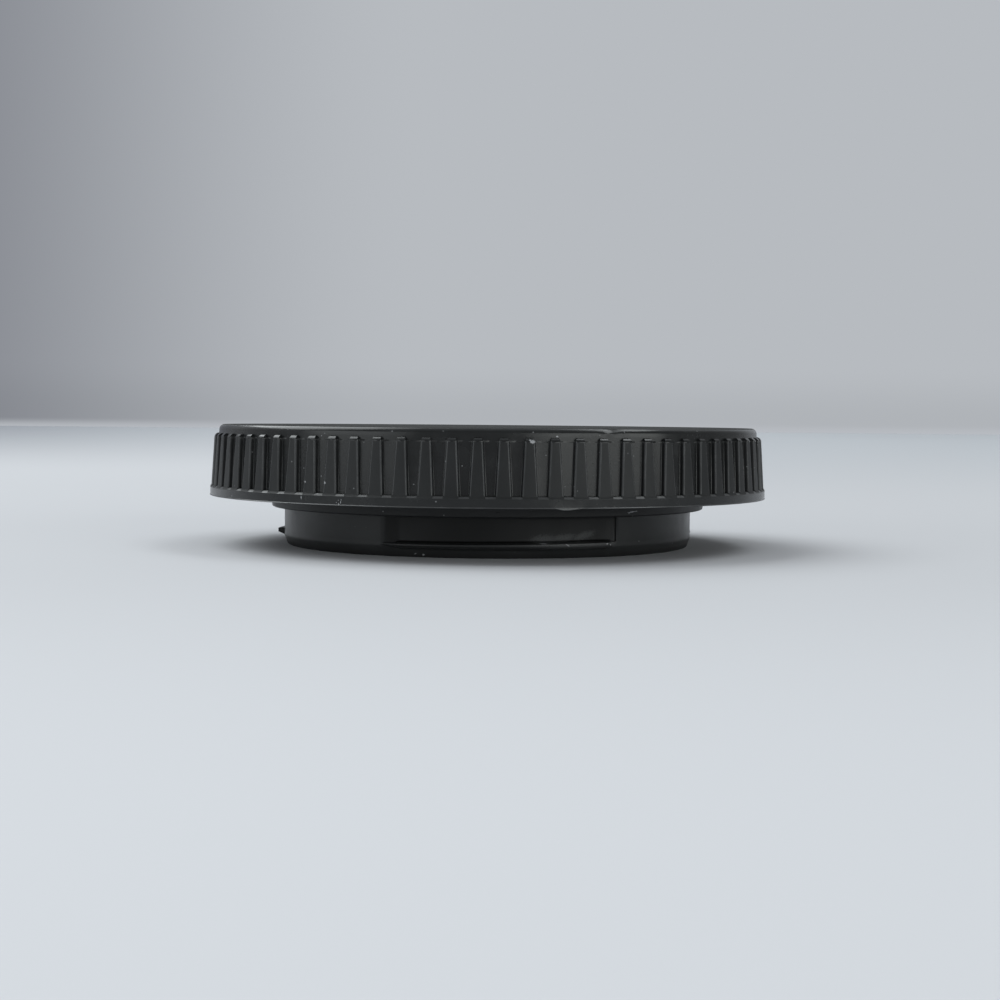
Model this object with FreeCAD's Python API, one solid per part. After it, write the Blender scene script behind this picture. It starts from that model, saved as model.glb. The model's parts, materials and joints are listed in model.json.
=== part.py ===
import FreeCAD, Part
import math
import os

# Camera body cap, moulded in one piece. Millimetres, +Z up, resting on the lower edge of its
# bayonet collar at z 0, the plain face on top, the cap's axis on Z and its front towards -Y.

# Grip rim
RIM_RADIUS = 30.0
RIM_HEIGHT = 7.5
RIM_TAPER = 0.06            # radius lost for each millimetre of height
RIM_WALL = 2.2              # behind the grooves, at the rim's lower edge
RIM_EDGE_BEVEL = 0.2
LOWER_BAND = 0.9            # plain band under the grooves
FOOT_RISE = 0.26            # each groove's foot slopes up to the groove's floor
UPPER_BAND = 0.9            # plain band over the ribs
TOP_PLATE = 1.8
TOP_BEVEL = 0.55

# Grip ribs: each one is wide at its foot and narrow at its head
RIB_COUNT = 76
RIB_DEPTH = 0.58
RIB_FOOT_WIDTH = 1.5
RIB_HEAD_WIDTH = 0.88
RIB_FLANK = 8.0             # degrees that each side wall leans
RIB_HEAD_BEVEL = 0.42
RIB_EDGE_BEVEL = 0.12
RIB_SETBACK = 0.06          # the lower band stands this far out from the ribs
RIB_PHASE = 0.5             # degrees from the front to the nearest groove
RIB_ROOT = 0.3              # how far a rib reaches into the rim wall

# Seat ring and bayonet collar
SEAT_WIDTH = 1.35           # how far the seat face stands out from the collar
SEAT_STEP = 1.25            # seat face below the rim's lower edge
SEAT_EDGE_BEVEL = 0.18
COLLAR_RADIUS = 22.05
COLLAR_HEIGHT = 4.05
COLLAR_WALL = 2.1
LEAD_IN_HEIGHT = 0.95
LEAD_IN_DEPTH = 0.33
COLLAR_EDGE_BEVEL = 0.15

# Bayonet lugs and the pockets over them
LUG_COUNT = 3
LUG_CENTRE = 2.1            # degrees from the front, towards +X
LUG_SPAN = 61.0
LUG_GAP = 3.0               # degrees that a pocket runs on past its lug's blunt end
LUG_REACH = 0.75
LUG_DROP = 2.5              # lug's flat top below the seat face
LUG_TIP = 0.4               # height of the upright tip
LUG_SLOPE = 0.35            # height lost from the tip back to the collar
LUG_RAMP = 6.0              # degrees over which the leading end runs out
LUG_EDGE_BEVEL = 0.1
POCKET_DEPTH = 0.75

# Hidden underside
CORE_DRAFT = 0.018          # radius change for each millimetre of height on cored walls
CORE_BEVEL = 0.5

# Overlap given to shapes that are cut or joined
MARGIN = 0.05

SEAT_Z = COLLAR_HEIGHT
RIM_Z = SEAT_Z + SEAT_STEP
TOP_Z = RIM_Z + RIM_HEIGHT
PLATE_Z = TOP_Z - TOP_PLATE
FOOT_Z = RIM_Z + LOWER_BAND
HEAD_Z = TOP_Z - UPPER_BAND
BORE_RADIUS = COLLAR_RADIUS - COLLAR_WALL
SEAT_RADIUS = COLLAR_RADIUS + SEAT_WIDTH
LUG_RADIUS = COLLAR_RADIUS + LUG_REACH
LUG_TOP = SEAT_Z - LUG_DROP


def rim_radius(z):
    return RIM_RADIUS - RIM_TAPER * (z - RIM_Z)


def floor_radius(z):
    return rim_radius(z) - RIB_DEPTH


def rib_radius(z):
    return rim_radius(z) - RIB_SETBACK


def section(corners):
    """Closed face in the XZ plane from (radius, height, bevel) corners."""
    outline = []
    count = len(corners)
    for i, (r, z, bevel) in enumerate(corners):
        here = FreeCAD.Vector(r, 0.0, z)
        for other in (corners[i - 1], corners[(i + 1) % count]):
            towards = FreeCAD.Vector(other[0], 0.0, other[1]) - here
            reach = min(bevel, 0.45 * towards.Length)
            towards.normalize()
            if reach > 0.0:
                outline.append(here + towards * reach)
        if bevel <= 0.0:
            outline.append(here)
    return Part.Face(Part.makePolygon(outline + outline[:1]))


def turned(corners, start=0.0, sweep=360.0):
    """Solid of revolution about Z, from a start angle given from the front towards +X."""
    face = section(corners)
    face.rotate(FreeCAD.Vector(), FreeCAD.Vector(0, 0, 1), start - 90.0)
    return face.revolve(FreeCAD.Vector(), FreeCAD.Vector(0, 0, 1), sweep)


def around(r, angle, z):
    """Point at a radius, an angle from the front towards +X, and a height."""
    turn = math.radians(angle - 90.0)
    return FreeCAD.Vector(r * math.cos(turn), r * math.sin(turn), z)


def make_body():
    """Top plate, rim wall, seat ring and collar as one turned shape."""
    deep = PLATE_Z - SEAT_Z
    return turned([
        (COLLAR_RADIUS - LEAD_IN_DEPTH, 0.0, COLLAR_EDGE_BEVEL),
        (COLLAR_RADIUS, LEAD_IN_HEIGHT, 0.0),
        (COLLAR_RADIUS, SEAT_Z, 0.0),
        (SEAT_RADIUS, SEAT_Z, SEAT_EDGE_BEVEL),
        (SEAT_RADIUS + CORE_DRAFT * deep, PLATE_Z, CORE_BEVEL),
        (floor_radius(PLATE_Z) - RIM_WALL, PLATE_Z, CORE_BEVEL),
        (floor_radius(RIM_Z) - RIM_WALL, RIM_Z, 0.0),
        (RIM_RADIUS, RIM_Z, RIM_EDGE_BEVEL),
        (rim_radius(FOOT_Z), FOOT_Z, 0.0),
        (floor_radius(FOOT_Z + FOOT_RISE), FOOT_Z + FOOT_RISE, 0.0),
        (floor_radius(TOP_Z), TOP_Z, TOP_BEVEL),
        (0.0, TOP_Z, 0.0),
        (0.0, PLATE_Z, 0.0),
        (BORE_RADIUS - CORE_DRAFT * PLATE_Z, PLATE_Z, CORE_BEVEL),
        (BORE_RADIUS, 0.0, COLLAR_EDGE_BEVEL),
    ])


def rib_outline(z):
    """Corners of the rib's cross-section at one height, carried out past its flat face."""
    share = (z - FOOT_Z) / (HEAD_Z - FOOT_Z)
    half = (RIB_FOOT_WIDTH + share * (RIB_HEAD_WIDTH - RIB_FOOT_WIDTH)) / 2.0
    depth = RIB_DEPTH + 2.0 * RIB_ROOT
    face = rib_radius(z)
    root = half + math.tan(math.radians(RIB_FLANK)) * (depth - RIB_EDGE_BEVEL)
    right = [
        FreeCAD.Vector(face - depth, root, z),
        FreeCAD.Vector(face - RIB_EDGE_BEVEL, half, z),
        FreeCAD.Vector(face + RIB_EDGE_BEVEL, half - 2.0 * RIB_EDGE_BEVEL, z),
    ]
    left = [FreeCAD.Vector(corner.x, -corner.y, z) for corner in reversed(right)]
    return right + left


def between(lower, upper):
    """Solid with flat sides between two outlines that have the same corners."""
    faces = [Part.Face(Part.makePolygon(ends + ends[:1])) for ends in (lower, upper)]
    for i in range(len(lower)):
        side = [lower[i - 1], lower[i], upper[i], upper[i - 1], lower[i - 1]]
        faces.append(Part.Face(Part.makePolygon(side)))
    return Part.Solid(Part.Shell(faces))


def make_rib():
    """One rib on +X: flat tapered face, bevelled edges and a bevelled head."""
    low = FOOT_Z - LOWER_BAND / 3.0
    back = RIB_DEPTH + RIB_ROOT
    side = section([
        (rib_radius(low) - back, low, 0.0),
        (rib_radius(low), low, 0.0),
        (rib_radius(HEAD_Z), HEAD_Z, RIB_HEAD_BEVEL),
        (rib_radius(HEAD_Z) - back, HEAD_Z, 0.0),
    ])
    side.translate(FreeCAD.Vector(0, -RIB_FOOT_WIDTH, 0))
    bar = side.extrude(FreeCAD.Vector(0, 2.0 * RIB_FOOT_WIDTH, 0))
    return bar.common(between(rib_outline(low - RIB_ROOT), rib_outline(HEAD_Z + RIB_ROOT)))


def make_lug(start):
    """Bayonet lug: flat top, upright tip, sloping underside and one end that runs out."""
    back = COLLAR_RADIUS - COLLAR_WALL / 4.0
    tip_low = LUG_TOP - LUG_TIP
    slope = LUG_SLOPE / LUG_REACH
    lug = turned([
        (back, LUG_TOP, 0.0),
        (LUG_RADIUS, LUG_TOP, LUG_EDGE_BEVEL),
        (LUG_RADIUS, tip_low, LUG_EDGE_BEVEL),
        (back, tip_low - slope * (LUG_RADIUS - back), 0.0),
    ], start, LUG_SPAN)
    run_out = Part.Face(Part.makePolygon([
        around(COLLAR_RADIUS - MARGIN, start, 0.0),
        around(LUG_RADIUS + MARGIN, start + LUG_RAMP, 0.0),
        around(RIM_RADIUS, start + LUG_RAMP, 0.0),
        around(RIM_RADIUS, start - LUG_RAMP, 0.0),
        around(COLLAR_RADIUS - MARGIN, start - LUG_RAMP, 0.0),
        around(COLLAR_RADIUS - MARGIN, start, 0.0),
    ]))
    return lug.cut(run_out.extrude(FreeCAD.Vector(0, 0, SEAT_Z)))


def make_pocket(start):
    """Room over one lug, back into the collar's wall, up to the seat face."""
    inner = COLLAR_RADIUS - POCKET_DEPTH
    return turned([
        (inner, LUG_TOP, 0.0),
        (LUG_RADIUS, LUG_TOP, 0.0),
        (LUG_RADIUS, SEAT_Z, 0.0),
        (inner, SEAT_Z, 0.0),
    ], start, LUG_SPAN + LUG_GAP)


def make_cap():
    cap = make_body()
    lug_starts = [LUG_CENTRE - LUG_SPAN / 2.0 + k * 360.0 / LUG_COUNT for k in range(LUG_COUNT)]
    cap = cap.cut([make_pocket(start) for start in lug_starts])
    cap = cap.fuse([make_lug(start) for start in lug_starts])
    rib = make_rib()
    pitch = 360.0 / RIB_COUNT
    ribs = []
    for k in range(RIB_COUNT):
        one = rib.copy()
        turn = RIB_PHASE + (k + 0.5) * pitch - 90.0
        one.rotate(FreeCAD.Vector(), FreeCAD.Vector(0, 0, 1), turn)
        ribs.append(one)
    return cap.fuse(ribs).removeSplitter().Solids[0]


os.makedirs("parts", exist_ok=True)
make_cap().exportStep("parts/body_cap.step")
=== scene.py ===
"""Looks of a moulded bayonet body cap: its rounded moulding, worn satin plastic with painted highlights and
painted shade, and a pale stage with painted light on its floor.
"""
import json
import math
from collections import namedtuple

import bmesh
import bpy
from mathutils import Matrix, Vector


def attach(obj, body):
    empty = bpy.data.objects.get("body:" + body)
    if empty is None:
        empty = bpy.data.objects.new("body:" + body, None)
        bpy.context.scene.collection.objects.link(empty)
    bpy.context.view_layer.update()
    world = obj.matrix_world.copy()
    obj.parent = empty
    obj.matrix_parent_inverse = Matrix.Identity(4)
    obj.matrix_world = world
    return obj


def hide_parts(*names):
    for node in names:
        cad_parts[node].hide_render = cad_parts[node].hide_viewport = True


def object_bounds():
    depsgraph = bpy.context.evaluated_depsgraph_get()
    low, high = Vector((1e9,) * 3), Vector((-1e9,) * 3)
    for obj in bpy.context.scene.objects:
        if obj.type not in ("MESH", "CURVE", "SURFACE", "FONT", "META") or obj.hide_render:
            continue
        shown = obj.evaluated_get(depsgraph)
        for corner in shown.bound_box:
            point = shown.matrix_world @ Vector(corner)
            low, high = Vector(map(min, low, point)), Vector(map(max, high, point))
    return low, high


bl_info = {
    "name": "Moulded Body Cap",
    "version": (1, 0, 0),
    "blender": (4, 5, 0),
    "location": "View3D > Sidebar > Body Cap",
    "description": "Models a ribbed bayonet body cap, gives it worn black plastic and sets a pale stage",
    "category": "Add Mesh",
}

MM = 0.001
NODE = "body_cap"
PIECE = "moulded_cap"

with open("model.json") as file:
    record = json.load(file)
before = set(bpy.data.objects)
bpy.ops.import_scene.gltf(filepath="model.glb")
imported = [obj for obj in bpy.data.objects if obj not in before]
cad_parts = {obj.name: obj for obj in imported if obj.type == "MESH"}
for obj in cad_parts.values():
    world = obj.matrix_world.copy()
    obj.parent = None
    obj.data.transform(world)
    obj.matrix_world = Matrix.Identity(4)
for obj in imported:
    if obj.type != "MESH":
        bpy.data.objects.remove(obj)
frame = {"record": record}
CAD_LOW, CAD_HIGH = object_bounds()
BAYONET = next(m for m in frame["record"]["mounts"] if m["name"] == "bayonet")
CAD_RADIUS = (CAD_HIGH.x - CAD_LOW.x) / 2.0
CAD_HEIGHT = CAD_HIGH.z
SEAT_HEIGHT = BAYONET["pos_m"][2]
COLLAR_RADIUS = BAYONET["dims"]["r_mm"] * MM
LUG_COUNT = BAYONET["dims"]["count"]
FRONT = Vector((0.0, -1.0, 0.0))
UP = Vector((0.0, 0.0, 1.0))

# How near a vertex, edge or face has to be to count as being at a place
MERGE = 0.0005 * MM
TOUCH = 0.01 * MM
WALL_SLACK = 0.02 * MM
CHORD_SLACK = 0.05 * MM
RIM_SKIN = 0.3 * MM
RIB_SIDES = (0.1 * MM, 1.1 * MM)
COLUMN_SLACK = 0.1                  # degrees
HALF_COLUMN = 0.5                   # degrees

# Shares by which one part of the moulding is told from the next
RIB_SIDE_FROM = 0.45                # of a rib's head width, from its middle
RIB_EDGE_FROM = 0.4                 # of a rib's height over its groove
LUG_TIP_FROM = 0.9                  # of a lug's reach
LEDGE_BACK_FROM = 0.3               # of a pocket's depth
FOOT_LEAN = 0.25                    # of a rib's lean, at the step over its foot
FLASH_STEPS = (1.0, 0.55)           # of the thick place in the flash, which hangs down in two steps
LIP_TOP = 1.5                       # lips over the rim's lower edge
RIM_SEAT_END = 2.0                  # rounds in from the seat ring's edge, where the rim's mesh ends
COLLAR_SEAT_START = 3.0             # rounds in from the seat ring's edge, where the collar's mesh starts

# Fineness of the mesh
RIB_COLUMNS = 4
EDGE_STEPS = 3
ROUND_STEPS = (3, 5, 8)             # for a small, a middling and a large round
ROUND_PROFILE = 0.5
SMALL_ROUND = 0.1 * MM
LARGE_ROUND = 0.6 * MM
ROW_GAP = 0.08 * MM
HEAD_ROWS = (22.5, 45.0, 67.5)      # degrees up the quarter round of a rib's head
SHARP_ANGLE = math.radians(28.0)
SMOOTH_ANGLE = math.radians(31.5)
EDGE_WEAR_AND_HIGHLIGHT = "edge_wear"             # face attribute, 1 on the rubbed rib edges and on the groove feet, which the finish lightens as wear and as painted highlights

# Ramps of the finish: from and to, then the levels at the two ends where they aren't 0 and 1
FALLING = (1.0, 0.0)
COLLAR_FROM = (20.8 * MM, 20.9 * MM)
POCKET_TO = (21.8 * MM, 21.95 * MM, *FALLING)
RIM_FROM = (28.0 * MM, 28.1 * MM)
PROUD_FROM = (-0.45 * MM, -0.3 * MM)
LIP_FROM = (-0.04 * MM, 0.0)
# painted light on the collar's lower part
LOW_COLLAR_PAINTED_LIGHT = (1.3 * MM, 1.6 * MM, 0.14, 0.0)
FRAYED = (0.3, 0.7)
MARK_OUTLINE = (0.7, 1.2, *FALLING)
RUBBED_AND_SHEEN_STREAKS = (0.3, 0.65, 0.35, 1.0)
SPECK_CROWDS = (0.5, 0.7, 0.0, 0.05)
SPECK_CHANCE = (0.992, 0.996)
SPECK_OUTLINE = (0.15, 0.3, *FALLING)
EDGE_MOTTLE = (0.3, 0.6, 0.5, 1.0)
ROUGH_MOTTLE = (0.3, 0.7, -0.04, 0.04)
TONE_MOTTLE = (0.35, 0.75, 0.0, 0.10)
TOP_GRAIN = (0.0, 1.0, 1.0, 10.0)
UNDER_EDGE = (-0.10 * MM, -0.02 * MM)
ABOUT_FOOT = (-0.1 * MM, 0.1 * MM)
ABOUT_SHOULDER = (-0.02 * MM, 0.04 * MM)
ABOUT_SEAT = (-0.02 * MM, 0.02 * MM)
TOP_EDGE = (1.0, 0.8)               # top rounds under the plain face
LIP_FADES = (2.0, 2.6)              # lips over the rim's lower edge, where the flash line is lightened as a painted highlight
MOTTLE_SCALE = 350.0                # patches of uneven gloss in a metre

# How strongly each kind of wear and dust shows, and the painted highlights and painted shade
# edges of the ribs and the groove feet: wear and painted highlights
LOW_EDGES_SHOW = 0.75
EDGE_SHOWS = 0.95
# painted shade in the pockets, towards black
POCKET_PAINTED_SHADE = 0.6
PALE_SHOWS = 0.8
SPECKS_SHOW = 0.4
SPECKLED_ADDS = 0.12
BLACK = (0.0, 0.0, 0.0, 1.0)

# Ramps of the stage, by place on the floor or by direction from the camera
BACKDROP_SHADED = (-0.38, -0.03)
BACKDROP_FOOT = (0.0, 0.03, 0.91, 1.0)
# Painted light on the floor: lighter on the left and towards the camera, darker on the right and near and
# behind the cap
FLOOR_PAINTED_LIGHT_ACROSS = (-0.08, 0.08, 1.06, 0.98)
FLOOR_PAINTED_LIGHT_ALONG = (-0.14, -0.03, 1.03, 0.91)
FADE_START = 0.002
FADE_END = (-0.1, 0.1, 0.034, 0.05)
ROOM_TURNS = (0.2, 1.0)
ROOM_FRONT = (-1.0, -0.75, *FALLING)
ROOM_BACK = (0.6, 0.93)
LEAST_BACK = 0.1
EDGE_ACROSS = (-0.3, 0.0, 0.95, 1.0)
EDGE_RISE = 0.3
ROOM_BRIGHT_FROM = Vector((-0.25, 0.35, 0.90)).normalized()
SENSOR_WIDTH = 36.0
CLIP_START = 0.01

# A panel lamp: its brightness setting, degrees from the front and over the floor, degrees wide and tall
Lamp = namedtuple("Lamp", "name brightness place size tint")
COOL = (0.95, 1.0, 1.01)
WARM = (0.96, 1.0, 0.98)
LAMPS = (
    Lamp("key_panel", "key", (-122.0, 49.0), (60.0, 38.0), COOL),
    Lamp("right_panel", "right_fill", (47.0, 13.0), (56.0, 17.0), WARM),
    Lamp("left_panel", "left_fill", (-57.0, 13.0), (44.0, 17.0), COOL),
    Lamp("back_panel", "back_fill", (118.0, 60.0), (44.0, 16.0), COOL),
)

# A mark on the plastic: degrees from the front towards +X, then height and half sizes in millimetres,
# then degrees of tilt
Mark = namedtuple("Mark", "angle height half_width half_height tilt")
PALE_MARKS = (
    Mark(-31.4, 7.42, 0.13, 0.10, 0.0),
    Mark(-31.9, 7.22, 0.06, 0.05, 0.0),
    Mark(-36.0, 7.44, 0.09, 0.08, 0.0),
    Mark(-36.6, 5.91, 0.05, 0.20, 6.0),
    Mark(12.8, 12.04, 0.09, 0.09, 0.0),
    Mark(8.1, 11.56, 0.24, 0.17, -8.0),
    Mark(7.6, 11.68, 0.10, 0.09, 0.0),
    Mark(-28.0, 5.44, 0.035, 0.10, 10.0),
    Mark(-27.6, 5.62, 0.035, 0.14, -6.0),
    Mark(-27.5, 5.86, 0.03, 0.10, 4.0),
    Mark(-28.5, 5.60, 0.03, 0.06, 0.0),
    Mark(37.9, 4.53, 0.70, 0.05, 4.0),
    Mark(36.9, 4.45, 0.25, 0.04, 30.0),
    Mark(-16.6, 0.28, 0.14, 0.09, 0.0),
    Mark(-18.8, 0.36, 0.22, 0.04, 14.0),
    Mark(31.3, 1.40, 0.14, 0.06, 10.0),
    Mark(32.3, 1.30, 0.06, 0.12, 0.0),
    Mark(14.4, 1.50, 0.45, 0.03, 0.0),
    Mark(20.2, 1.36, 0.26, 0.04, -22.0),
)
# Lighter patches on and over the front lug and along its lower edge: rubbed plastic, lightened further as a
# painted reflection
RUBBED_AND_SHEEN_MARKS = (
    Mark(15.2, 1.86, 2.0, 0.42, 0.0),
    Mark(20.6, 1.98, 1.9, 0.36, 4.0),
    Mark(26.6, 2.16, 1.7, 0.36, 10.0),
    Mark(22.0, 1.18, 5.4, 0.34, 0.0),
)
DARK_MARKS = (
    Mark(-25.9, 6.93, 0.09, 0.08, 0.0),
    Mark(19.7, 9.51, 0.08, 0.10, 0.0),
    Mark(2.4, 4.62, 0.30, 0.05, 0.0),
)
SPECKLED = (
    Mark(-36.9, 9.0, 0.55, 0.8, 0.0),
    Mark(-30.3, 9.0, 0.45, 0.8, 0.0),
    Mark(-33.0, 12.0, 2.2, 0.4, 0.0),
)


def length(name, description, default):
    return bpy.props.FloatProperty(
        name=name, description=description, default=default, precision=6, unit="LENGTH", subtype="DISTANCE")


def turn(name, description, degrees):
    return bpy.props.FloatProperty(
        name=name, description=description, default=math.radians(degrees), unit="ROTATION", subtype="ANGLE")


def share(name, description, default):
    return bpy.props.FloatProperty(name=name, description=description, default=default, precision=4)


def whole(name, description, default):
    return bpy.props.IntProperty(name=name, description=description, default=default, min=1)


def colour(name, description, default):
    return bpy.props.FloatVectorProperty(
        name=name, description=description, default=default, size=3, subtype="COLOR", min=0.0, max=1.0)


class RimSizes(bpy.types.PropertyGroup):
    """Sizes of the grip rim, its ribs, the top plate and the recess under it."""
    radius: length("Radius", "Rim's largest radius", CAD_RADIUS)
    top: length("Top", "Height of the plain face", CAD_HEIGHT)
    bottom: length("Bottom", "Height of the rim's lower edge", SEAT_HEIGHT + 1.25 * MM)
    taper: share("Taper", "Radius lost for each unit of height", 0.06)
    wall: length("Wall", "Rim wall behind the grooves", 2.2 * MM)
    plate: length("Plate", "Thickness of the top plate", 1.8 * MM)
    lower_band: length("Lower band", "Plain band under the grooves", 0.9 * MM)
    upper_band: length("Upper band", "Plain band over the ribs", 0.9 * MM)
    foot_round: length("Foot round", "Size of the sloping edge under each groove", 0.2 * MM)
    foot_rise: length("Foot rise", "Height of each groove's foot", 0.26 * MM)
    top_round: length("Top round", "Radius of the top edge", 0.5 * MM)
    edge_round: length("Edge round", "Radius of the rim's lower edges", 0.18 * MM)
    core_round: length("Core round", "Radius of the corners in the hidden recesses", 0.5 * MM)
    draft: share("Draft", "Lean of the walls in the hidden recesses", 0.018)
    rib_count: whole("Ribs", "Grip ribs round the rim", 76)
    rib_phase: turn("Rib phase", "Angle from the front to the nearest groove", 0.5)
    rib_depth: length("Rib depth", "Depth of the grooves", 0.53 * MM)
    rib_setback: length("Rib setback", "Rib faces behind the lower band", 0.06 * MM)
    rib_foot: length("Rib foot", "Width of a rib's face at its foot", 1.5 * MM)
    rib_head: length("Rib head", "Width of a rib's face at its head", 0.88 * MM)
    rib_lean: length("Rib lean", "How much wider each side of a rib is at its root", 0.05 * MM)
    head_rise: length("Head rise", "Height of each rib's rounded head", 0.44 * MM)
    head_narrowing: length("Head narrowing", "Width lost on each side of a rib at its very top", 0.14 * MM)
    rib_round: length("Rib round", "Radius of the ribs' edges", 0.14 * MM)
    root_round: length("Root round", "Radius of the corners between ribs and grooves", 0.1 * MM)
    lip: length("Lip", "Size of the moulding flash round the rim's lower edge", 0.05 * MM)
    flash_at: turn("Flash at", "Angle from the front to the thick place in the flash", 14.4)
    flash_span: turn("Flash span", "Angle that the thick place takes up", 4.0)
    flash_drop: length("Flash drop", "How far the thick place hangs down", 0.14 * MM)
    nick_at: turn("Nick at", "Angle from the front to the nick in the top edge", 23.3)
    nick_size: length("Nick size", "Reach of the nick in the top edge", 0.5 * MM)
    nick_depth: length("Nick depth", "Depth of the nick in the top edge", 0.09 * MM)


class CollarSizes(bpy.types.PropertyGroup):
    """Sizes of the seat ring, the bayonet collar, its lugs and the pockets over them."""
    radius: length("Radius", "Collar's outer radius", COLLAR_RADIUS)
    seat: length("Seat", "Height of the seat face", SEAT_HEIGHT)
    seat_width: length("Seat width", "Seat face outside the collar", 1.35 * MM)
    wall: length("Wall", "Thickness of the collar's wall", 2.1 * MM)
    lead_in_height: length("Lead-in height", "Height of the sloping lower edge", 0.95 * MM)
    lead_in_depth: length("Lead-in depth", "Depth of the sloping lower edge", 0.33 * MM)
    edge_round: length("Edge round", "Radius of the collar's lower edges", 0.15 * MM)
    lug_round: length("Lug round", "Radius of the lugs' and pockets' edges", 0.06 * MM)
    lug_centre: turn("Lug centre", "Angle from the front to the middle of the nearest lug", 2.1)
    lug_span: whole("Lug span", "Degrees that a lug takes up", 61)
    lug_gap: whole("Lug gap", "Degrees of pocket past a lug's end", 3)
    lug_ramp: whole("Lug ramp", "Degrees of a lug's run-out", 6)
    pocket_ramp: whole("Pocket ramp", "Degrees over which a pocket reaches its depth", 4)
    pocket_end: whole("Pocket end", "Degrees over which a pocket's far end comes out again", 6)
    pocket_step: share("Pocket step", "Share of a pocket's depth that is left at its far end", 0.3)
    ledge_rise: length("Ledge rise", "How far a lug's top rises to the back of its pocket", 0.2 * MM)
    lug_fall: length("Lug fall", "Leading end of a lug's top below its blunt end", 0.22 * MM)
    lug_reach: length("Lug reach", "How far a lug stands out", 0.75 * MM)
    lug_drop: length("Lug drop", "Lug's top below the seat face", 2.5 * MM)
    lug_tip: length("Lug tip", "Height of a lug's upright edge", 0.4 * MM)
    lug_slope: length("Lug slope", "Fall of a lug's underside", 0.35 * MM)
    pocket_depth: length("Pocket depth", "Depth of the pocket over a lug", 0.75 * MM)


class PlasticFinish(bpy.types.PropertyGroup):
    """Colour, gloss and wear of the black plastic, and the paler and darker tones painted on it as
    highlights, light and shade.
    """
    base: colour("Base", "Colour of the plastic", (0.0125, 0.0135, 0.0138))
    rib_base: colour("Rib base", "Colour of the ribs' faces", (0.0110, 0.0120, 0.0123))
    # paler colour of rubbed plastic, also laid on as painted highlights, a painted reflection and painted
    # light
    rubbed_and_sheen: colour("Rubbed", "Colour of rubbed plastic", (0.06, 0.062, 0.063))
    dust: colour("Dust", "Colour of dust and pale marks", (0.42, 0.43, 0.44))
    smooth: share("Smooth", "Roughness of the grooves and the plain bands", 0.25)
    textured: share("Textured", "Roughness of the ribs' faces and the pockets", 0.52)
    worn: share("Worn", "Roughness of the collar", 0.36)
    dull: share("Dull", "Roughness of the seat ring", 0.45)
    coarse: share("Coarse", "Roughness of the plain face on top", 1.0)
    polished: share("Polished", "Roughness of edges that hands have rubbed", 0.2)
    ior: share("IOR", "Refractive index, which sets how strongly the plastic reflects", 1.38)
    grain: length("Grain", "Size of the moulded grain", 0.16 * MM)
    grain_depth: length("Grain depth", "Depth of the moulded grain", 0.0025 * MM)
    fray: length("Fray", "Size of the unevenness of the marks' outlines", 0.14 * MM)
    speck: length("Speck", "Spacing of the places where a speck of dust can lie", 0.3 * MM)


class StageSetup(bpy.types.PropertyGroup):
    """The camera, the floor, the backdrop and the lamps."""
    lens: share("Lens", "Focal length in millimetres on a 36 mm sensor", 63.74)
    eye_distance: length("Eye distance", "Camera in front of the cap's axis", 193.75 * MM)
    eye_height: length("Eye height", "Camera over the floor", 13.86 * MM)
    yaw: turn("Yaw", "Camera turned to the right", 0.4)
    pitch: turn("Pitch", "Camera tilted down", 2.7)
    roll: turn("Roll", "Camera rolled", 0.516)
    floor: colour("Floor", "Colour of the floor near the cap", (0.541, 0.548, 0.569))
    floor_reach: length("Floor reach", "Floor's edge from the cap's axis", 1.6)
    floor_edge: colour("Floor edge", "Tone in which the floor and the backdrop meet", (0.475, 0.496, 0.53))
    floor_light: share("Floor light", "Light that reaches the open floor", 1.1)
    floor_rough: share("Floor rough", "Roughness of the floor", 0.85)
    floor_gloss: share("Floor gloss", "Specular level of the floor", 0.2)
    backdrop: colour("Backdrop", "Colour of the backdrop", (0.474, 0.497, 0.527))
    shaded_backdrop: colour("Shaded backdrop", "Colour of the backdrop's left end", (0.21, 0.22, 0.25))
    bright_room: colour("Bright room", "Room light from over and behind the cap", (0.60, 0.62, 0.65))
    dark_room: colour("Dark room", "Room light from the right and low down", (0.22, 0.225, 0.23))
    front_room: colour("Front room", "Room light from behind the camera", (0.36, 0.365, 0.375))
    key: share("Key", "Brightness of the panel behind on the left", 3.5)
    right_fill: share("Right fill", "Brightness of the low panel on the right", 3.0)
    left_fill: share("Left fill", "Brightness of the low panel on the left", 1.9)
    back_fill: share("Back fill", "Brightness of the small panel behind on the right", 3.2)
    panel_distance: length("Panel distance", "Panels from the cap", 3.0)


def begin(name, point):
    """Start a mesh of one vertex, in edit mode."""
    bpy.ops.object.select_all(action="DESELECT")
    bpy.ops.mesh.primitive_plane_add(size=MM)
    made = bpy.context.object
    made.name = made.data.name = name
    bpy.ops.object.mode_set(mode="EDIT")
    bpy.ops.mesh.select_mode(type="VERT")
    bpy.ops.mesh.select_all(action="SELECT")
    bpy.ops.mesh.merge(type="CENTER")
    bpy.ops.transform.translate(value=point)
    return made


def trace(points):
    """Draw on from the selected vertex through a chain of points."""
    for here, there in zip(points, points[1:]):
        bpy.ops.mesh.extrude_region_move(TRANSFORM_OT_translate={"value": there - here})


def pick(made, kind, test):
    """In edit mode, select the vertices, edges or faces whose place passes a test."""
    bpy.ops.mesh.select_mode(type=kind)
    bpy.ops.mesh.select_all(action="DESELECT")
    cage = bmesh.from_edit_mesh(made.data)
    found = 0
    if kind == "VERT":
        for vertex in cage.verts:
            if test(vertex.co):
                vertex.select_set(True)
                found += 1
    else:
        for item in (cage.edges if kind == "EDGE" else cage.faces):
            centre = sum((v.co for v in item.verts), Vector()) / len(item.verts)
            if test(centre):
                item.select_set(True)
                found += 1
    cage.select_flush_mode()
    bmesh.update_edit_mesh(made.data)
    if not found:
        raise RuntimeError(f"{made.name}: nothing to select")


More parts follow.
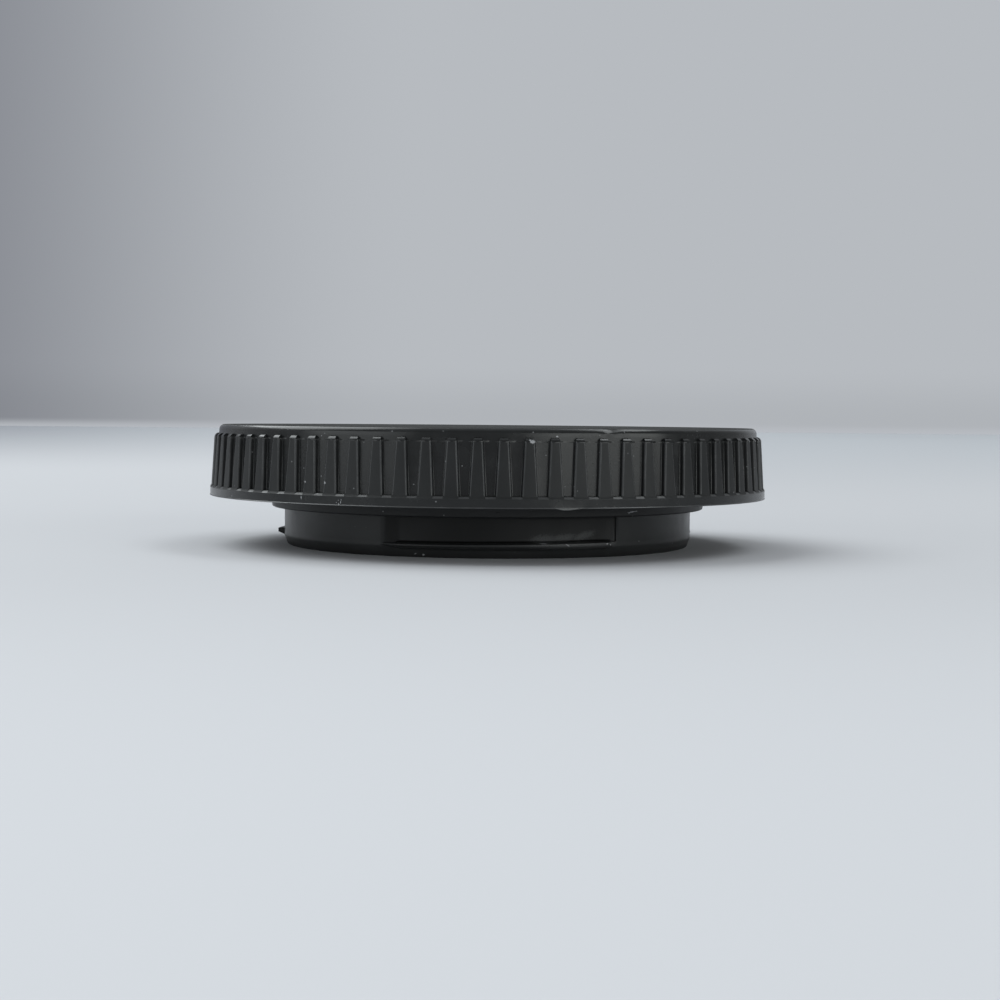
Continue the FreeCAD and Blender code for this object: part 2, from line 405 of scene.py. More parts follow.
def near(point, reach=TOUCH):
    return lambda place: (place - point).length < reach


def radius_of(place):
    return math.hypot(place.x, place.y)


def angle_of(place):
    """Angle from the front towards +X."""
    return math.atan2(place.x, -place.y)


def out(angle, radius, height):
    """Point at an angle from the front, a radius and a height."""
    return Vector((math.sin(angle) * radius, -math.cos(angle) * radius, height))


def round_steps(rounding):
    """Straight steps that a rounded corner is made of, more for a larger one."""
    few, some, many = ROUND_STEPS
    return few if rounding < SMALL_ROUND else some if rounding < LARGE_ROUND else many


def draw_profile(name, corners, angle):
    """Trace a turned profile of (radius, height, round) corners and round its corners."""
    points = [out(angle, radius, height) for radius, height, rounding in corners]
    made = begin(name, points[0])
    trace(points)
    for point, (radius, height, rounding) in zip(points, corners):
        if rounding > 0.0:
            pick(made, "VERT", near(point))
            bpy.ops.mesh.bevel(
                affect="VERTICES", offset=rounding, segments=round_steps(rounding), profile=ROUND_PROFILE)
    bpy.ops.mesh.select_all(action="SELECT")
    return made


def merge_doubles():
    bpy.ops.mesh.select_all(action="SELECT")
    bpy.ops.mesh.remove_doubles(threshold=MERGE)


def turn_profile(angle, steps):
    """Turn the traced profile into a wall that faces outwards."""
    bpy.ops.mesh.spin(steps=steps, angle=angle, center=(0, 0, 0), axis=-UP)
    merge_doubles()
    bpy.ops.mesh.normals_make_consistent(inside=False)


def round_edges(radius):
    bpy.ops.mesh.bevel(
        affect="EDGES", offset=radius, segments=EDGE_STEPS, profile=ROUND_PROFILE, clamp_overlap=True)


def scale_radius(ratio):
    """Move what is selected towards the axis or away from it."""
    bpy.ops.transform.resize(value=(ratio, ratio, 1), center_override=(0, 0, 0))


def repeat_round(made, count):
    """Copy the whole mesh round the axis and close the seams."""
    bpy.ops.mesh.select_all(action="SELECT")
    bpy.ops.mesh.spin(
        steps=count - 1, angle=math.tau * (count - 1) / count, center=(0, 0, 0), axis=UP, dupli=True)
    merge_doubles()
    bpy.ops.object.mode_set(mode="OBJECT")


def widen(made, point, half_width):
    """Set how far from the sector's middle plane the two vertices beside a point lie."""
    nearest, furthest = RIB_SIDES
    pick(made, "VERT", lambda p: abs(p.y - point.y) < CHORD_SLACK and abs(p.z - point.z) < TOUCH
         and nearest < abs(p.x) < furthest)
    cage = bmesh.from_edit_mesh(made.data)
    width = max(v.co.x for v in cage.verts if v.select)
    bpy.ops.transform.resize(value=(half_width / width, 1, 1), center_override=(0, point.y, point.z))


def model_rim(rim, collar):
    """One rib's share of the rim, modelled at the front, then repeated all round."""
    def rim_radius(z):
        return rim.radius - rim.taper * (z - rim.bottom)

    def floor_radius(z):
        return rim_radius(z) - rim.rib_depth

    foot = rim.bottom + rim.lower_band
    step = foot + rim.foot_round
    floor = foot + rim.foot_rise
    head = rim.top - rim.upper_band
    shoulder = head - rim.head_rise
    plate = rim.top - rim.plate
    seat_radius = collar.radius + collar.seat_width
    pitch = math.tau / rim.rib_count

    def head_row(degrees):
        """Height of a row on the rounded head, and the share of the rib's depth that is left there."""
        angle = math.radians(degrees)
        return shoulder + rim.head_rise * math.sin(angle), math.cos(angle)

    head_rows = [head_row(degrees) for degrees in HEAD_ROWS]
    made = draw_profile(PIECE, [
        (0.0, rim.top, 0.0),
        (floor_radius(rim.top), rim.top, rim.top_round),
        (floor_radius(head), head, 0.0),
        *((floor_radius(z), z, 0.0) for z, left in reversed(head_rows)),
        (floor_radius(shoulder), shoulder, 0.0),
        (floor_radius(floor), floor, 0.0),
        (rim.radius - rim.foot_round, step, 0.0),
        (rim.radius, foot, 0.0),
        (rim.radius, rim.bottom + 2.0 * rim.lip, 0.0),
        (rim.radius + rim.lip, rim.bottom + rim.lip, 0.0),
        (rim.radius + rim.lip, rim.bottom, rim.lip / 2.0),
        (floor_radius(rim.bottom) - rim.wall, rim.bottom, rim.edge_round),
        (floor_radius(plate) - rim.wall, plate, rim.core_round),
        (seat_radius + rim.draft * (plate - collar.seat), plate, rim.core_round),
        (seat_radius, collar.seat, rim.edge_round),
        (seat_radius - RIM_SEAT_END * rim.edge_round, collar.seat, 0.0),
    ], -pitch / 2.0)
    turn_profile(pitch, RIB_COLUMNS)

    raised = rim.rib_depth - rim.rib_setback

    def half_width(z):
        """Half of the width of the rib's face at a height."""
        up = (z - foot) / (head - foot)
        return (rim.rib_foot + up * (rim.rib_head - rim.rib_foot)) / 2.0

    def at(radius, z):
        return FRONT * radius + UP * z

    widen(made, at(rim.radius, foot), half_width(foot))
    widen(made, at(rim.radius - rim.foot_round, step), half_width(step) + FOOT_LEAN * rim.rib_lean)
    for z in (floor, shoulder):
        widen(made, at(floor_radius(z), z), half_width(z) + rim.rib_lean)
    for z, left in head_rows:
        widen(made, at(floor_radius(z), z), half_width(z) - (1.0 - left) * rim.head_narrowing)
    widen(made, at(floor_radius(head), head), half_width(head) - rim.head_narrowing)
    pick(made, "FACE", lambda p: foot < p.z < head and -p.y > floor_radius(p.z) - RIM_SKIN
         and abs(p.x) < rim.rib_foot / 2.0)
    bpy.ops.mesh.extrude_region_move(TRANSFORM_OT_translate={"value": FRONT * raised})

    def move_row(radius, z, target):
        """Move the raised vertices of one row to another radius."""
        pick(made, "VERT", lambda p: abs(p.z - z) < TOUCH and -p.y > radius + raised / 2.0)
        bpy.ops.transform.translate(value=FRONT * (target - radius - raised))

    move_row(rim.radius, foot, rim.radius)
    move_row(rim.radius - rim.foot_round, step, rim_radius(step) - rim.rib_setback)
    for z, left in head_rows:
        move_row(floor_radius(z), z, floor_radius(z) + left * raised)
    move_row(floor_radius(head), head, floor_radius(head))
    for z in (step, floor, shoulder):
        widen(made, at(rim_radius(z) - rim.rib_setback, z), half_width(z))
    merge_doubles()

    def beside_face(p):
        """At the height of the rib's flat face, clear of the rows at its two ends."""
        return floor + TOUCH < p.z < shoulder - TOUCH

    def on_rib_edge(p):
        """The long edges of the rib, not the rows that cross them."""
        return (beside_face(p) and abs(p.x) > RIB_SIDE_FROM * rim.rib_head
                and -p.y > floor_radius(p.z) + RIB_EDGE_FROM * raised)

    def in_root(p):
        """The corners between the rib's sides and the grooves."""
        return (beside_face(p) and abs(abs(p.x) - half_width(p.z) - rim.rib_lean) < WALL_SLACK
                and abs(-p.y - floor_radius(p.z)) < CHORD_SLACK)

    pick(made, "EDGE", on_rib_edge)
    round_edges(rim.rib_round)
    # The rounded rib edges get the paler tone of wear, laid on also as painted highlights
    bpy.ops.geometry.attribute_add(name=EDGE_WEAR_AND_HIGHLIGHT, domain="FACE", data_type="FLOAT")
    bpy.ops.mesh.attribute_set(value_float=1.0)
    pick(made, "EDGE", in_root)
    round_edges(rim.root_round)
    # The groove feet's slopes get the same paler tone, as painted highlights
    pick(made, "FACE", lambda p: foot < p.z < step and abs(p.x) > half_width(p.z)
         and -p.y > rim.radius - rim.foot_round)
    bpy.ops.mesh.attribute_set(value_float=1.0)
    bpy.ops.mesh.select_all(action="SELECT")
    bpy.ops.transform.rotate(
        value=-(rim.rib_phase + pitch / 2.0), orient_axis="Z", center_override=(0, 0, 0))
    repeat_round(made, rim.rib_count)
    mark_rim(made, rim, floor_radius(rim.top))
    return made


def mark_rim(made, rim, top_radius):
    """Let the flash hang down at one place and press a nick into the top edge."""
    bpy.ops.object.mode_set(mode="EDIT")
    for part in FLASH_STEPS:
        reach = part * rim.flash_span / 2.0
        pick(made, "VERT", lambda p: abs(angle_of(p) - rim.flash_at) < reach
             and p.z < rim.bottom + LIP_TOP * rim.lip and radius_of(p) > rim.radius - rim.lip)
        bpy.ops.transform.translate(value=-UP * rim.flash_drop / 2.0)
    struck = out(rim.nick_at, top_radius, rim.top)
    pick(made, "VERT", near(struck, rim.nick_size))
    bpy.ops.transform.translate(value=(out(rim.nick_at, -1.0, 0.0) - UP) * rim.nick_depth)
    bpy.ops.object.mode_set(mode="OBJECT")


def model_collar(collar, rim):
    """One lug's share of the collar, then repeated for each lug."""
    sector = 360 // LUG_COUNT
    lead = (sector - collar.lug_span) // 2
    degree = math.radians(1.0)
    lug_start = collar.lug_centre - collar.lug_span * degree / 2.0
    lug_top = collar.seat - collar.lug_drop
    tip_low = lug_top - collar.lug_tip
    lug_radius = collar.radius + collar.lug_reach
    pocket_radius = collar.radius - collar.pocket_depth
    pocket_span = collar.lug_span + collar.lug_gap
    plate = rim.top - rim.plate
    bore = collar.radius - collar.wall
    seat_radius = collar.radius + collar.seat_width
    made = draw_profile("collar", [
        (seat_radius - COLLAR_SEAT_START * rim.edge_round, collar.seat, 0.0),
        (collar.radius, collar.seat, 0.0),
        (collar.radius, lug_top, 0.0),
        (collar.radius, tip_low, 0.0),
        (collar.radius, collar.lead_in_height, 0.0),
        (collar.radius - collar.lead_in_depth, 0.0, collar.edge_round),
        (bore, 0.0, collar.edge_round),
        (bore - rim.draft * plate, plate, rim.core_round),
        (0.0, plate, 0.0),
    ], lug_start - lead * degree)
    turn_profile(sector * degree, sector)

    def column(place):
        """Degrees past the lug's start."""
        return math.degrees((angle_of(place) - lug_start + math.pi) % math.tau - math.pi)

    def in_column(place, step):
        return abs(column(place) - step) < COLUMN_SLACK

    def on_wall(place):
        return abs(radius_of(place) - collar.radius) < WALL_SLACK

    def push(radius):
        """Extrude the picked part of the wall to another radius."""
        bpy.ops.mesh.extrude_region_move()
        scale_radius(radius / collar.radius)

    def slide(height, step, target):
        """Slide one vertex of a row down the wall, also onto the leaning lower edge."""
        pick(made, "VERT", lambda p: on_wall(p) and abs(p.z - height) < MERGE and in_column(p, step))
        leaned = collar.lead_in_depth * max(0.0, 1.0 - target / collar.lead_in_height)
        scale_radius(1.0 - leaned / collar.radius)
        bpy.ops.transform.translate(value=UP * (target - height))

    pick(made, "FACE", lambda p: on_wall(p) and lug_top < p.z < collar.seat
         and 0.0 < column(p) < pocket_span)
    push(pocket_radius)
    pick(made, "FACE", lambda p: on_wall(p) and tip_low < p.z < lug_top
         and 0.0 < column(p) < collar.lug_span)
    push(lug_radius)
    for step in range(pocket_span + 1):
        far_end = max(collar.pocket_step, (pocket_span - step) / collar.pocket_end)
        sunk = min(1.0, step / collar.pocket_ramp, far_end)
        if sunk < 1.0:
            pick(made, "VERT", lambda p: abs(radius_of(p) - pocket_radius) < WALL_SLACK
                 and lug_top - MERGE < p.z < collar.seat + MERGE and in_column(p, step))
            scale_radius((collar.radius - sunk * collar.pocket_depth) / pocket_radius)
    pick(made, "VERT", lambda p: abs(p.z - lug_top) < MERGE
         and bore < radius_of(p) < collar.radius - LEDGE_BACK_FROM * collar.pocket_depth
         and collar.pocket_ramp - HALF_COLUMN < column(p) < pocket_span - HALF_COLUMN)
    bpy.ops.transform.translate(value=UP * collar.ledge_rise)
    for step in range(collar.lug_span + 1):
        grown = min(1.0, step / collar.lug_ramp)
        if grown < 1.0:
            pick(made, "VERT", lambda p: radius_of(p) > collar.radius + LUG_TIP_FROM * collar.lug_reach
                 and p.z < lug_top + MERGE and in_column(p, step))
            scale_radius((collar.radius + grown * collar.lug_reach) / lug_radius)
        if step > 0:
            low = tip_low - collar.lug_slope * grown
            slide(collar.lead_in_height, step, min(collar.lead_in_height, low - ROW_GAP))
            slide(tip_low, step, low)
        pick(made, "VERT", lambda p: -MERGE < p.z - lug_top < collar.ledge_rise + MERGE
             and in_column(p, step))
        bpy.ops.transform.translate(value=-UP * collar.lug_fall * (1.0 - step / collar.lug_span))
    merge_doubles()
    bpy.ops.mesh.select_mode(type="EDGE")
    bpy.ops.mesh.select_all(action="DESELECT")
    bpy.ops.mesh.edges_select_sharp(sharpness=SHARP_ANGLE)
    round_edges(collar.lug_round)
    repeat_round(made, LUG_COUNT)
    return made


class BODYCAP_OT_mould(bpy.types.Operator):
    """Model the cap as one closed moulding: ribbed rim, top plate, seat ring, collar and lugs"""
    bl_idname = "body_cap.mould"
    bl_label = "Mould Cap"

    def execute(self, context):
        rim = context.scene.rim_sizes
        collar = context.scene.collar_sizes
        cap = model_rim(rim, collar)
        lower = model_collar(collar, rim)
        bpy.ops.object.select_all(action="DESELECT")
        lower.select_set(True)
        cap.select_set(True)
        context.view_layer.objects.active = cap
        bpy.ops.object.join()
        bpy.ops.object.mode_set(mode="EDIT")
        bpy.ops.mesh.select_mode(type="EDGE")
        bpy.ops.mesh.select_all(action="DESELECT")
        bpy.ops.mesh.select_non_manifold(extend=False, use_wire=False, use_multi_face=False,
                                         use_non_contiguous=False, use_verts=False)
        bpy.ops.mesh.fill(use_beauty=True)
        bpy.ops.mesh.select_all(action="SELECT")
        bpy.ops.mesh.normals_make_consistent(inside=False)
        bpy.ops.object.mode_set(mode="OBJECT")
        bpy.ops.object.shade_smooth_by_angle(angle=SMOOTH_ANGLE)
        even = cap.modifiers.new("Even normals", "WEIGHTED_NORMAL")
        even.keep_sharp = True
        bpy.ops.object.modifier_apply(modifier=even.name)
        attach(cap, "root")
        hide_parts(NODE)
        return {"FINISHED"}


class Shading:
    """Short ways to add and join the nodes of one tree."""

    def __init__(self, tree):
        self.tree = tree

    def add(self, kind, settings=None, **sockets):
        node = self.tree.nodes.new("ShaderNode" + kind)
        for name, value in (settings or {}).items():
            setattr(node, name, value)
        for name, value in sockets.items():
            self.feed(node.inputs[name.replace("_", " ")], value)
        return node

    def feed(self, socket, value):
        if isinstance(value, bpy.types.NodeSocket):
            self.tree.links.new(value, socket)
        else:
            socket.default_value = value

    def math(self, operation, first, second=0.0, clamp=False):
        node = self.add("Math", {"operation": operation, "use_clamp": clamp})
        self.feed(node.inputs[0], first)
        self.feed(node.inputs[1], second)
        return node.outputs[0]

    def both(self, first, second):
        return self.math("MULTIPLY", first, second)

    def either(self, first, second):
        return self.math("MAXIMUM", first, second)

    def ramp(self, value, low, high, start=0.0, end=1.0):
        node = self.add("MapRange", {"interpolation_type": "SMOOTHSTEP"})
        for socket, given in zip(node.inputs, (value, low, high, start, end)):
            self.feed(socket, given)
        return node.outputs["Result"]

    def scale(self, tone, factor):
        node = self.add("VectorMath", {"operation": "SCALE"}, Scale=factor)
        self.feed(node.inputs[0], tone)
        return node.outputs["Vector"]

    def length(self, vector):
        return self.add("VectorMath", {"operation": "LENGTH"}, Vector=vector).outputs["Value"]

    def mix(self, weight, first, second, kind="RGBA"):
        node = self.add("Mix", {"data_type": kind})
        used = [socket for socket in node.inputs if socket.enabled]
        for socket, given in zip(used, (weight, first, second)):
            self.feed(socket, given)
        return next(socket for socket in node.outputs if socket.enabled)

    def noise(self, place, scale, detail, roughness):
        node = self.add("TexNoise", Vector=place, Scale=scale, Detail=detail, Roughness=roughness)
        return node.outputs["Fac"]

    def reach(self, place, marks):
        """How far a place on the unrolled wall lies from the nearest mark, 1 on a mark's outline."""
        nearest = None
        for mark in marks:
            local = self.add(
                "Mapping", {"vector_type": "TEXTURE"}, Vector=place,
                Location=(math.radians(mark.angle) * CAD_RADIUS, mark.height * MM, 0.0),
                Rotation=(0.0, 0.0, math.radians(mark.tilt)),
                Scale=(mark.half_width * MM, mark.half_height * MM, 1.0))
            away = self.length(local.outputs[0])
            nearest = away if nearest is None else self.math("MINIMUM", nearest, away)
        return nearest


def opaque(value):
    return (*value, 1.0)


def make_plastic(finish, rim):
    """Black moulded plastic: smoother in the grooves, textured on the ribs, with dust and rubbed places,
    painted highlights on the edges, the lip and the lug, painted shade in the pockets and painted light low
    on the collar.
    """
    made = bpy.data.materials.new("black_moulded_plastic")
    made.use_nodes = True
    shade = Shading(made.node_tree)
    shader = made.node_tree.nodes["Principled BSDF"]
    place = shade.add("TexCoord").outputs["Object"]
    axes = shade.add("SeparateXYZ", Vector=place)
    flat = shade.add("CombineXYZ", X=axes.outputs["X"], Y=axes.outputs["Y"])
    radius = shade.length(flat.outputs[0])
    height = axes.outputs["Z"]
    foot = rim.bottom + rim.lower_band
    shoulder = rim.top - rim.upper_band - rim.head_rise

    def rising(level, start, end, *levels):
        """Ramp by height across a level, between two offsets from it."""
        return shade.ramp(height, level + start, level + end, *levels)

    # Unevenness of the gloss, of the skin and of the marks' outlines
    mottle = shade.noise(place, MOTTLE_SCALE, detail=4.0, roughness=0.6)
    grain = shade.noise(place, 1.0 / finish.grain, detail=2.0, roughness=0.55)
    frayed = shade.noise(place, 1.0 / finish.fray, detail=3.0, roughness=0.65)

    # Zones of the moulding, by radius, height and depth behind the rim's tapered skin
    skin = shade.math("MULTIPLY_ADD", height, rim.taper)
    skin.node.inputs[2].default_value = -rim.radius - rim.taper * rim.bottom
    behind = shade.math("ADD", radius, skin)
    proud = shade.ramp(behind, *PROUD_FROM)
    below = rising(rim.bottom, *UNDER_EDGE, *FALLING)
    over = rising(rim.top, *UNDER_EDGE)
    on_ribs = shade.both(shade.both(proud, rising(foot, *ABOUT_FOOT)),
                         rising(shoulder, *ABOUT_SHOULDER, *FALLING))
    on_head = shade.both(proud, rising(shoulder, *ABOUT_SHOULDER))
    on_seat = shade.both(below, rising(SEAT_HEIGHT, *ABOUT_SEAT))
    top_edge = shade.ramp(height, *(rim.top - part * rim.top_round for part in TOP_EDGE))
    in_pocket = shade.both(below, shade.ramp(radius, *POCKET_TO))
    on_collar = shade.both(below, shade.ramp(radius, *COLLAR_FROM))
    outside = shade.either(on_collar, shade.ramp(radius, *RIM_FROM))

    # Marks on the unrolled outside, and specks of dust
    angle = shade.math("ARCTAN2", axes.outputs["X"], shade.both(axes.outputs["Y"], -1.0))
    unrolled = shade.add("CombineXYZ", X=shade.both(angle, CAD_RADIUS), Y=height).outputs[0]

    def marked(marks, ragged):
        """Where the marks lie, with frayed outlines."""
        fray = shade.ramp(frayed, *FRAYED, -ragged, ragged)
        away = shade.math("ADD", shade.reach(unrolled, marks), fray)
        return shade.both(outside, shade.ramp(away, *MARK_OUTLINE))

    pale = marked(PALE_MARKS, ragged=0.45)
    # Lighter patches on and over the front lug: rubbed plastic, lightened further as a painted reflection
    rubbed_and_sheen = shade.both(marked(RUBBED_AND_SHEEN_MARKS, ragged=0.5), shade.ramp(frayed, *RUBBED_AND_SHEEN_STREAKS))
    dark = marked(DARK_MARKS, ragged=0.3)
    crowded = shade.either(shade.both(marked(SPECKLED, ragged=0.2), SPECKLED_ADDS),
                           shade.ramp(mottle, *SPECK_CROWDS))
    cells = shade.add("TexVoronoi", Vector=place, Scale=1.0 / finish.speck)
    chance = shade.add("SeparateColor", Color=cells.outputs["Color"]).outputs["Red"]
    chance = shade.ramp(shade.math("ADD", chance, crowded), *SPECK_CHANCE)
    specks = shade.both(chance, shade.ramp(cells.outputs["Distance"], *SPECK_OUTLINE))
    specks = shade.both(specks, shade.math("SUBTRACT", 1.0, in_pocket))
    dusty = shade.either(shade.both(pale, PALE_SHOWS), shade.both(specks, SPECKS_SHOW))

    # Paler rib edges, rubbed and lightened further as painted highlights, and painted highlights on the
    # groove feet and the moulding flash
    edge = shade.add("Attribute", {"attribute_name": EDGE_WEAR_AND_HIGHLIGHT}).outputs["Fac"]
    edge = shade.both(edge, shade.ramp(height, foot + rim.foot_rise, shoulder, LOW_EDGES_SHOW, 1.0))
    # The flash line round the rim's lower edge, lightened as a painted highlight
    lip = shade.ramp(height, *(rim.bottom + part * rim.lip for part in LIP_FADES), *FALLING)
    lip = shade.both(lip, shade.ramp(behind, *LIP_FROM))
    edge = shade.both(shade.either(edge, lip), shade.ramp(mottle, *EDGE_MOTTLE))

    rough = shade.mix(on_ribs, finish.smooth, finish.textured, "FLOAT")
    for zone, level in (
            (below, finish.worn), (on_seat, finish.dull),
            (shade.either(top_edge, on_head), finish.polished), (in_pocket, finish.textured),
            (over, finish.coarse), (edge, finish.polished)):
        rough = shade.mix(zone, rough, level, "FLOAT")
    rough = shade.math("ADD", rough, shade.ramp(mottle, *ROUGH_MOTTLE), clamp=True)
    shade.feed(shader.inputs["Roughness"], rough)

    # The paler colour of rubbed plastic, also laid on as painted highlights, a painted reflection and
    # painted light
    worn = opaque(finish.rubbed_and_sheen)
    tone = shade.mix(on_ribs, opaque(finish.base), opaque(finish.rib_base))
    for zone, over_tone in (
            # random mottle, then the edges: wear and painted highlights
            (shade.ramp(mottle, *TONE_MOTTLE), worn), (shade.both(edge, EDGE_SHOWS), worn),
            # painted shade: the pockets darkened towards black
            (shade.both(in_pocket, POCKET_PAINTED_SHADE), BLACK),
            # painted light: the collar's lower part lightened
            (shade.both(on_collar, shade.ramp(height, *LOW_COLLAR_PAINTED_LIGHT)), worn),
            (rubbed_and_sheen, worn), (dusty, opaque(finish.dust)), (dark, BLACK)):
        tone = shade.mix(zone, tone, over_tone)
    shade.feed(shader.inputs["Base Color"], tone)

    relief = shade.both(grain, shade.ramp(over, *TOP_GRAIN))
    bump = shade.add("Bump", Strength=1.0, Distance=finish.grain_depth, Height=relief)
    shade.feed(shader.inputs["Normal"], bump.outputs["Normal"])
    shader.inputs["IOR"].default_value = finish.ior
    return made


class BODYCAP_OT_finish(bpy.types.Operator):
    """Give the cap its worn black plastic, with painted highlights and painted shade"""
    bl_idname = "body_cap.finish"
    bl_label = "Finish Cap"

    def execute(self, context):
        cap = bpy.data.objects[PIECE]
        cap.data.materials.clear()
        cap.data.materials.append(make_plastic(context.scene.plastic_finish, context.scene.rim_sizes))
        return {"FINISHED"}


def make_backdrop_group(setup):
    """Backdrop colour by direction: shaded on the left and a little darker where it meets the floor."""
    made = bpy.data.node_groups.new("backdrop_tone", "ShaderNodeTree")
    made.interface.new_socket("Sideways", in_out="INPUT", socket_type="NodeSocketFloat")
    made.interface.new_socket("Climb", in_out="INPUT", socket_type="NodeSocketFloat")
    made.interface.new_socket("Tone", in_out="OUTPUT", socket_type="NodeSocketColor")
    shade = Shading(made)
    given = made.nodes.new("NodeGroupInput").outputs
    result = made.nodes.new("NodeGroupOutput").inputs
    tone = shade.mix(shade.ramp(given["Sideways"], *BACKDROP_SHADED),
                     opaque(setup.shaded_backdrop), opaque(setup.backdrop))
    shade.feed(result["Tone"], shade.scale(tone, shade.ramp(given["Climb"], *BACKDROP_FOOT)))
    return made


def make_floor_material(setup, backdrop):
    """Pale matt floor that fades into the backdrop, with painted light: lighter on the left and towards the
    camera.
    """
    made = bpy.data.materials.new("pale_floor")
    made.use_nodes = True
    shade = Shading(made.node_tree)
    shader = made.node_tree.nodes["Principled BSDF"]
    axes = shade.add("SeparateXYZ", Vector=shade.add("TexCoord").outputs["Object"])
    away = shade.either(shade.math("ADD", axes.outputs["Y"], setup.eye_distance), MM)
    sideways = shade.math("DIVIDE", axes.outputs["X"], away)
    slope = shade.math("DIVIDE", setup.eye_height, away)
    wall = shade.add("Group", {"node_tree": backdrop}, Sideways=sideways, Climb=0.0)
    distant = shade.scale(wall.outputs["Tone"], 1.0 / setup.floor_light)
    # Painted light falling off across the floor
    level = shade.both(shade.ramp(axes.outputs["X"], *FLOOR_PAINTED_LIGHT_ACROSS),
                       shade.ramp(axes.outputs["Y"], *FLOOR_PAINTED_LIGHT_ALONG))
    close = shade.scale(setup.floor, level)
    fade = shade.ramp(slope, FADE_START, shade.ramp(sideways, *FADE_END))
    shade.feed(shader.inputs["Base Color"], shade.mix(fade, distant, close))
    shader.inputs["Roughness"].default_value = setup.floor_rough
    shader.inputs["Specular IOR Level"].default_value = setup.floor_gloss
    return made


def make_world(setup, backdrop):
    """A dim room, brightest overhead, with a plain backdrop behind the cap."""
    made = bpy.data.worlds.new("studio")
    made.use_nodes = True
    shade = Shading(made.node_tree)
    background = made.node_tree.nodes["Background"]
    towards = shade.add("TexCoord").outputs["Generated"]
    axes = shade.add("SeparateXYZ", Vector=towards)
    facing = shade.add("VectorMath", {"operation": "DOT_PRODUCT"}, Vector=towards)
    facing.inputs[1].default_value = ROOM_BRIGHT_FROM
    room = shade.mix(shade.ramp(facing.outputs["Value"], *ROOM_TURNS),
                     opaque(setup.dark_room), opaque(setup.bright_room))
    room = shade.mix(shade.ramp(axes.outputs["Y"], *ROOM_FRONT), room, opaque(setup.front_room))
    back = shade.either(axes.outputs["Y"], LEAST_BACK)
    sideways = shade.math("DIVIDE", axes.outputs["X"], back)
    wall = shade.add("Group", {"node_tree": backdrop}, Sideways=sideways, Climb=axes.outputs["Z"])
    edge_slope = setup.eye_height / (setup.eye_distance + setup.floor_reach)
    edge = shade.scale(setup.floor_edge, shade.ramp(sideways, *EDGE_ACROSS))
    at_edge = shade.ramp(axes.outputs["Z"], -edge_slope, -EDGE_RISE * edge_slope, *FALLING)
    wall = shade.mix(at_edge, wall.outputs["Tone"], edge)
    shade.feed(background.inputs["Color"], shade.mix(shade.ramp(axes.outputs["Y"], *ROOM_BACK), room, wall))
    return made


def add_panel(plan, setup):
    """A soft panel lamp that faces the cap and fills the angles that its plan gives."""
    distance = setup.panel_distance
    azimuth, climb = (math.radians(angle) for angle in plan.place)
    wide, tall = (2.0 * distance * math.tan(math.radians(angle) / 2.0) for angle in plan.size)
    spot = out(azimuth, distance * math.cos(climb), distance * math.sin(climb))
    bpy.ops.object.light_add(type="AREA", location=spot, rotation=spot.to_track_quat("Z", "Y").to_euler())
    lamp = bpy.context.object
    lamp.name = plan.name
    lamp.data.shape = "RECTANGLE"
    lamp.data.size = wide
    lamp.data.size_y = tall
    lamp.data.energy = getattr(setup, plan.brightness) * math.pi * wide * tall
    lamp.data.color = plan.tint


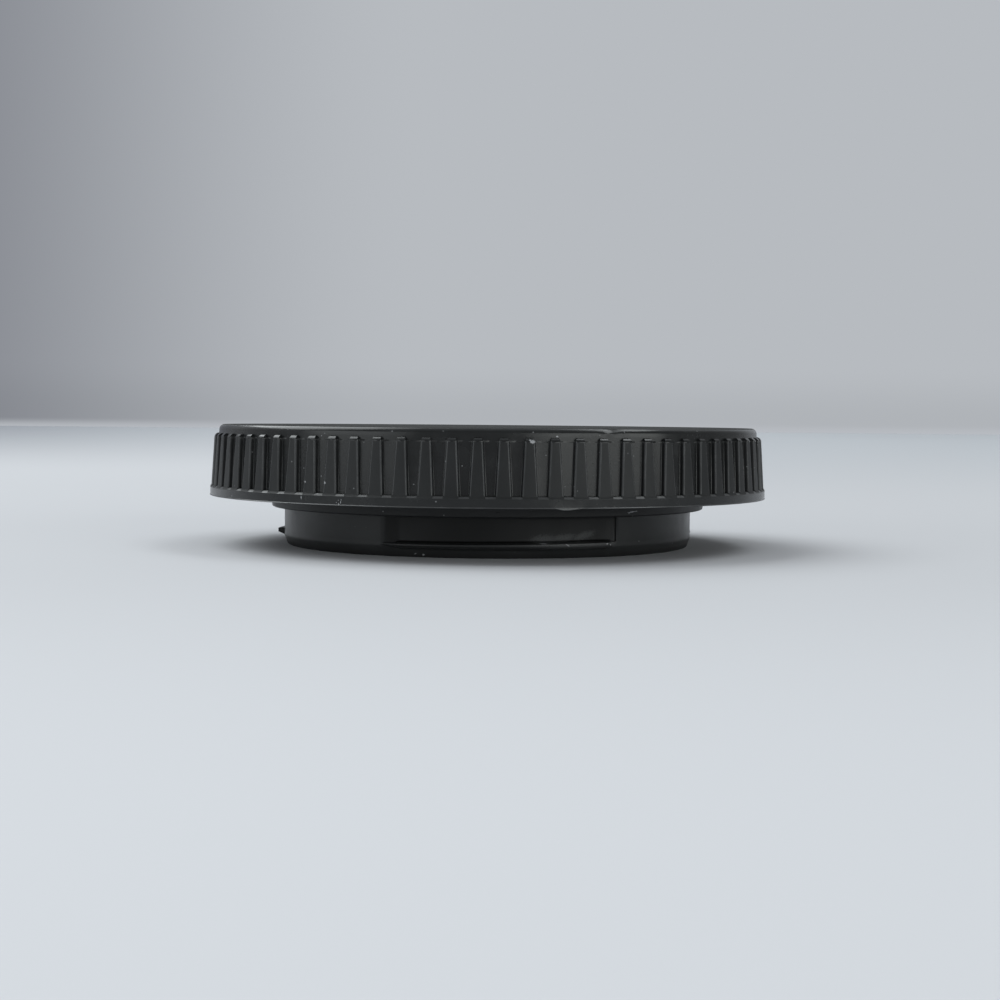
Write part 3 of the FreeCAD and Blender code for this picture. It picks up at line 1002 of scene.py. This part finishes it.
class BODYCAP_OT_stage(bpy.types.Operator):
    """Set the camera, the pale floor, the backdrop and the soft lamps"""
    bl_idname = "body_cap.stage"
    bl_label = "Set Stage"

    def execute(self, context):
        setup = context.scene.stage_setup
        scene = context.scene
        scene.view_settings.view_transform = "Standard"
        bpy.ops.object.select_all(action="DESELECT")
        bpy.ops.object.camera_add()
        camera = context.object
        camera.data.lens = setup.lens
        camera.data.sensor_width = SENSOR_WIDTH
        camera.data.clip_start = CLIP_START
        camera.matrix_world = (
            Matrix.Translation((0.0, -setup.eye_distance, setup.eye_height))
            @ Matrix.Rotation(-setup.yaw, 4, "Z")
            @ Matrix.Rotation(math.pi / 2.0 - setup.pitch, 4, "X")
            @ Matrix.Rotation(setup.roll, 4, "Z"))
        scene.camera = camera
        backdrop = make_backdrop_group(setup)
        bpy.ops.mesh.primitive_plane_add(size=2.0 * setup.floor_reach)
        floor = context.object
        floor.name = "floor"
        floor.data.materials.append(make_floor_material(setup, backdrop))
        scene.world = make_world(setup, backdrop)
        for plan in LAMPS:
            add_panel(plan, setup)
        return {"FINISHED"}


class BODYCAP_PT_sidebar(bpy.types.Panel):
    """The steps that make the cap, each with its settings"""
    bl_idname = "BODYCAP_PT_sidebar"
    bl_label = "Body Cap"
    bl_space_type = "VIEW_3D"
    bl_region_type = "UI"
    bl_category = "Body Cap"

    def draw(self, context):
        scene = context.scene
        steps = (
            (BODYCAP_OT_mould, (scene.rim_sizes, scene.collar_sizes)),
            (BODYCAP_OT_finish, (scene.plastic_finish,)),
            (BODYCAP_OT_stage, (scene.stage_setup,)),
        )
        for step, groups in steps:
            box = self.layout.box()
            box.operator(step.bl_idname)
            for group in groups:
                for name in group.__annotations__:
                    box.prop(group, name)


CLASSES = (
    RimSizes, CollarSizes, PlasticFinish, StageSetup,
    BODYCAP_OT_mould, BODYCAP_OT_finish, BODYCAP_OT_stage, BODYCAP_PT_sidebar,
)


def register():
    for cls in CLASSES:
        bpy.utils.register_class(cls)
    bpy.types.Scene.rim_sizes = bpy.props.PointerProperty(type=RimSizes)
    bpy.types.Scene.collar_sizes = bpy.props.PointerProperty(type=CollarSizes)
    bpy.types.Scene.plastic_finish = bpy.props.PointerProperty(type=PlasticFinish)
    bpy.types.Scene.stage_setup = bpy.props.PointerProperty(type=StageSetup)


def unregister():
    del bpy.types.Scene.stage_setup
    del bpy.types.Scene.plastic_finish
    del bpy.types.Scene.collar_sizes
    del bpy.types.Scene.rim_sizes
    for cls in reversed(CLASSES):
        bpy.utils.unregister_class(cls)


def main():
    register()
    bpy.ops.body_cap.mould()
    bpy.ops.body_cap.finish()
    bpy.ops.body_cap.stage()


if __name__ == "__main__":
    main()
